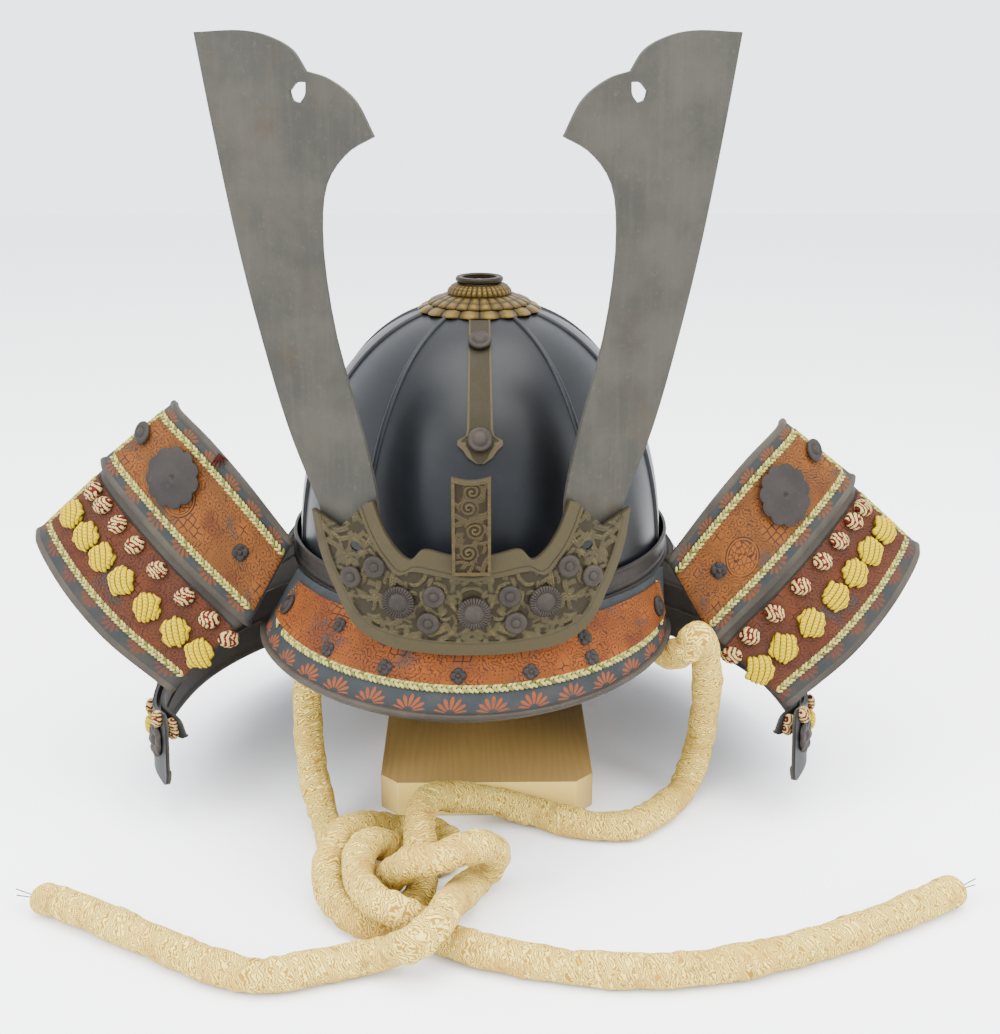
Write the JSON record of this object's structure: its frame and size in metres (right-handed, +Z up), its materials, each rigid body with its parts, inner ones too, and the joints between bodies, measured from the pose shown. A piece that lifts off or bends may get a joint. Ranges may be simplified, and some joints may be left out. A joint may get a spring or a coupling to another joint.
{
  "type": "kabuto samurai helmet on a wooden stand",
  "caption": "Lacquered ribbed helmet with crescent crest, tall horns, turned-back wings, printed leather visor and a knotted chin cord, set on a plain wooden stand.",
  "frame": {"origin": "middle of the object's footprint on the surface it stands on, without the loose cord", "axes": "+Z up, -Y towards the front of the helmet, +X towards the viewer's right when seen from the front"},
  "size_m": [0.533, 0.4256, 0.4324],
  "materials": {
    "lacquer": "black satin lacquer",
    "horn": "grey-olive patina",
    "bronze": "dark worn bronze",
    "gilt": "worn gilding",
    "iron": "dark brown, satin",
    "lame": "grey-brown lacquer, worn",
    "border": "blue-grey with printed fans",
    "leather": "orange-brown, printed",
    "braid": "flat plaited braid",
    "yellow": "plaited silk tufts",
    "knot": "twisted red and cream thread",
    "cord": "padded brocade",
    "wood": "planed, light varnish"
  },
  "bodies": {
    "root": {"bowl": "lacquer", "base_band": "iron", "crown_flange": "gilt", "crown_petals_lower": "gilt", "crown_petals_upper": "gilt", "crown_rim": "gilt", "front_strap": "bronze", "strap_boss_upper": "bronze", "strap_boss_lower": "bronze", "visor_plate": "border", "visor_leather": "leather", "visor_braid": "braid", "visor_rim": "lame", "visor_rivet_1": "iron", "visor_rivet_2": "iron", "visor_rivet_3": "iron", "visor_rivet_4": "iron", "visor_rivet_5": "iron", "visor_rivet_6": "iron", "visor_rivet_7": "iron", "visor_boss_left": "bronze", "visor_boss_right": "bronze", "crescent": "bronze", "flower_left": "iron", "flower_middle": "iron", "flower_right": "iron", "bud_left_1": "iron", "bud_right_1": "iron", "bud_left_2": "iron", "bud_right_2": "iron", "bud_left_3": "iron", "bud_right_3": "iron", "bud_left_4": "iron", "bud_right_4": "iron", "socket_plate": "gilt", "horn_left": "horn", "horn_right": "horn", "lame_1": "lame", "lame_2": "lame", "lame_3": "lame", "lame_4": "lame", "wing_leather_upper_left": "leather", "wing_leather_lower_left": "leather", "wing_disc_left": "iron", "wing_button_left": "bronze", "lacing_yellow_left": "yellow", "lacing_knots_left": "knot", "side_boss_left": "iron", "wing_leather_upper_right": "leather", "wing_leather_lower_right": "leather", "wing_disc_right": "iron", "wing_button_right": "bronze", "lacing_yellow_right": "yellow", "lacing_knots_right": "knot", "side_boss_right": "iron", "stand_base": "wood", "stand_post": "wood", "stand_pad": "wood", "chin_cord_left": "cord", "chin_cord_right": "cord"}
  },
  "joints": []
}
